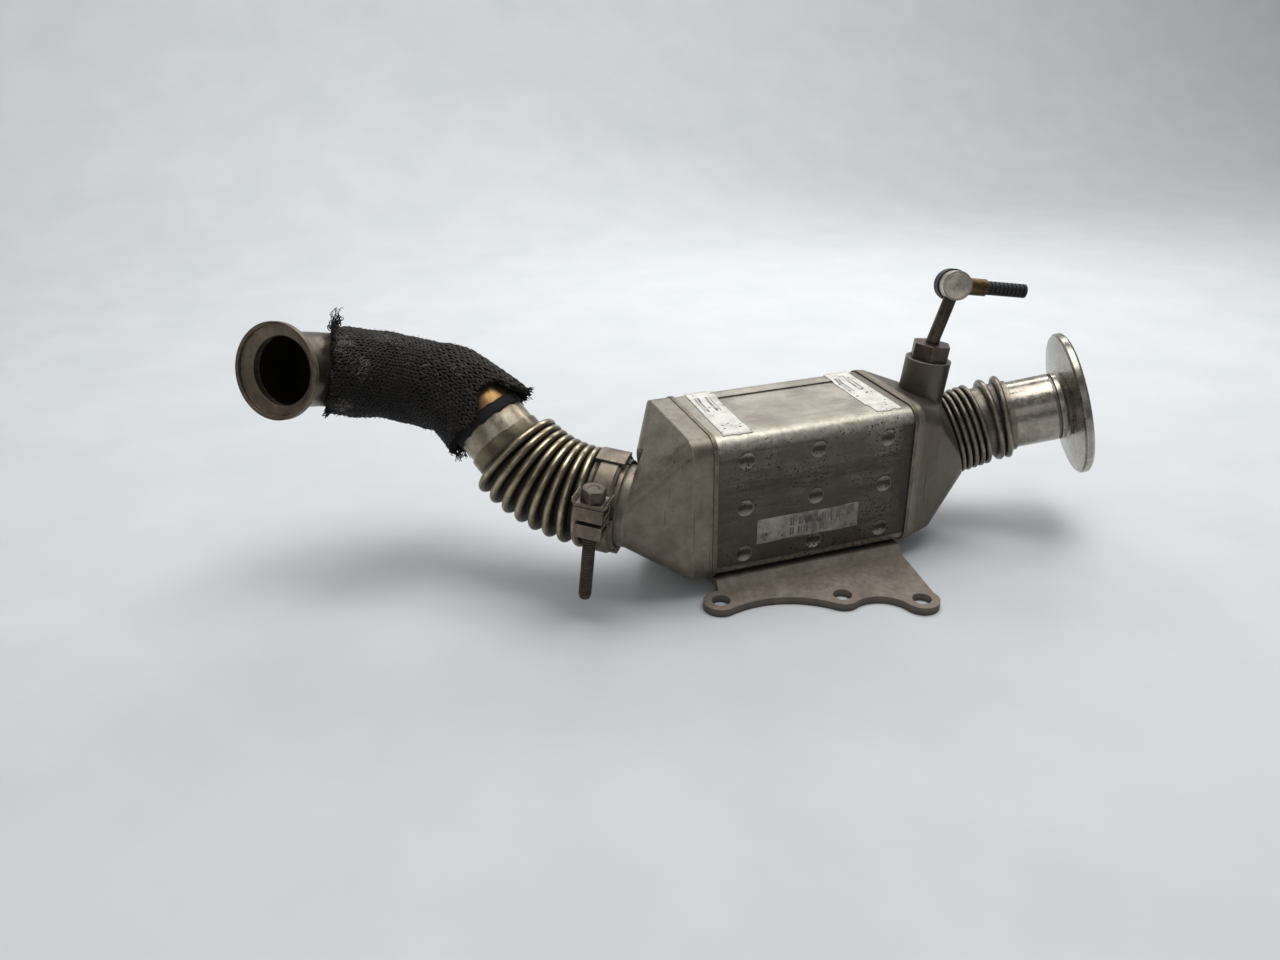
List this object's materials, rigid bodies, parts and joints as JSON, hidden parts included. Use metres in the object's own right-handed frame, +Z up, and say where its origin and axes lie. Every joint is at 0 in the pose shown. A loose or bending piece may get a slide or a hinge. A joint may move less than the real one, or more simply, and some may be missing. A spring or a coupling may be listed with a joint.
{
  "type": "exhaust gas recirculation cooler",
  "caption": "Exhaust gas cooler: flat-tube core in a dimpled steel casing on a bolt-down bracket, with a knit-sleeved inlet pipe on a clamped bellows and a flanged bellows outlet.",
  "frame": {"origin": "axis of the bracket's first bolt hole at the bracket's mounting face", "axes": "+X along the core from the inlet side to the outlet side, +Y from the bracket's bolted edge to the casing's back, +Z up from the mounting face"},
  "size_m": [0.4194, 0.1771, 0.1369],
  "materials": {
    "casing_steel": "aged, stained sheet",
    "dull_steel": "dull, heat-aged",
    "tinted_steel": "satin with a straw heat tint",
    "brown_steel": "brown oxide film",
    "bright_steel": "satin to bright, lightly pitted",
    "dark_steel": "dark, dull",
    "gasket": "matt graphite",
    "knit": "knitted, frayed",
    "rubber": "matt",
    "brass": "dull"
  },
  "bodies": {
    "root": {"core_casing": "casing_steel", "inlet_header_plate": "dull_steel", "outlet_header_plate": "dull_steel", "gas_tubes": "dull_steel", "coolant_inlet_spigot": "casing_steel", "coolant_outlet_spigot": "casing_steel", "mounting_bracket": "brown_steel", "inlet_tank": "casing_steel", "tank_vee_flange": "dull_steel", "joint_gasket": "gasket", "bellows_vee_flange": "tinted_steel", "inlet_bellows": "tinted_steel", "inlet_pipe": "tinted_steel", "inlet_mouth": "brown_steel", "insulation_sleeve": "knit", "clamp_upper_segment": "dull_steel", "clamp_back_segment": "dull_steel", "clamp_lower_segment": "dull_steel", "clamp_top_link": "dull_steel", "clamp_bottom_link": "dull_steel", "clamp_bolt": "dark_steel", "clamp_trunnion": "dull_steel", "clamp_nut": "dark_steel", "outlet_tank": "casing_steel", "outlet_bellows": "dull_steel", "outlet_pipe": "bright_steel", "outlet_flange": "bright_steel", "sensor_boss": "casing_steel", "sensor_nut": "dark_steel", "sensor_stem": "dark_steel", "sensor_head": "bright_steel", "sensor_boot": "rubber", "lead_ferrule": "brass", "lead_sleeve": "rubber"}
  },
  "joints": []
}
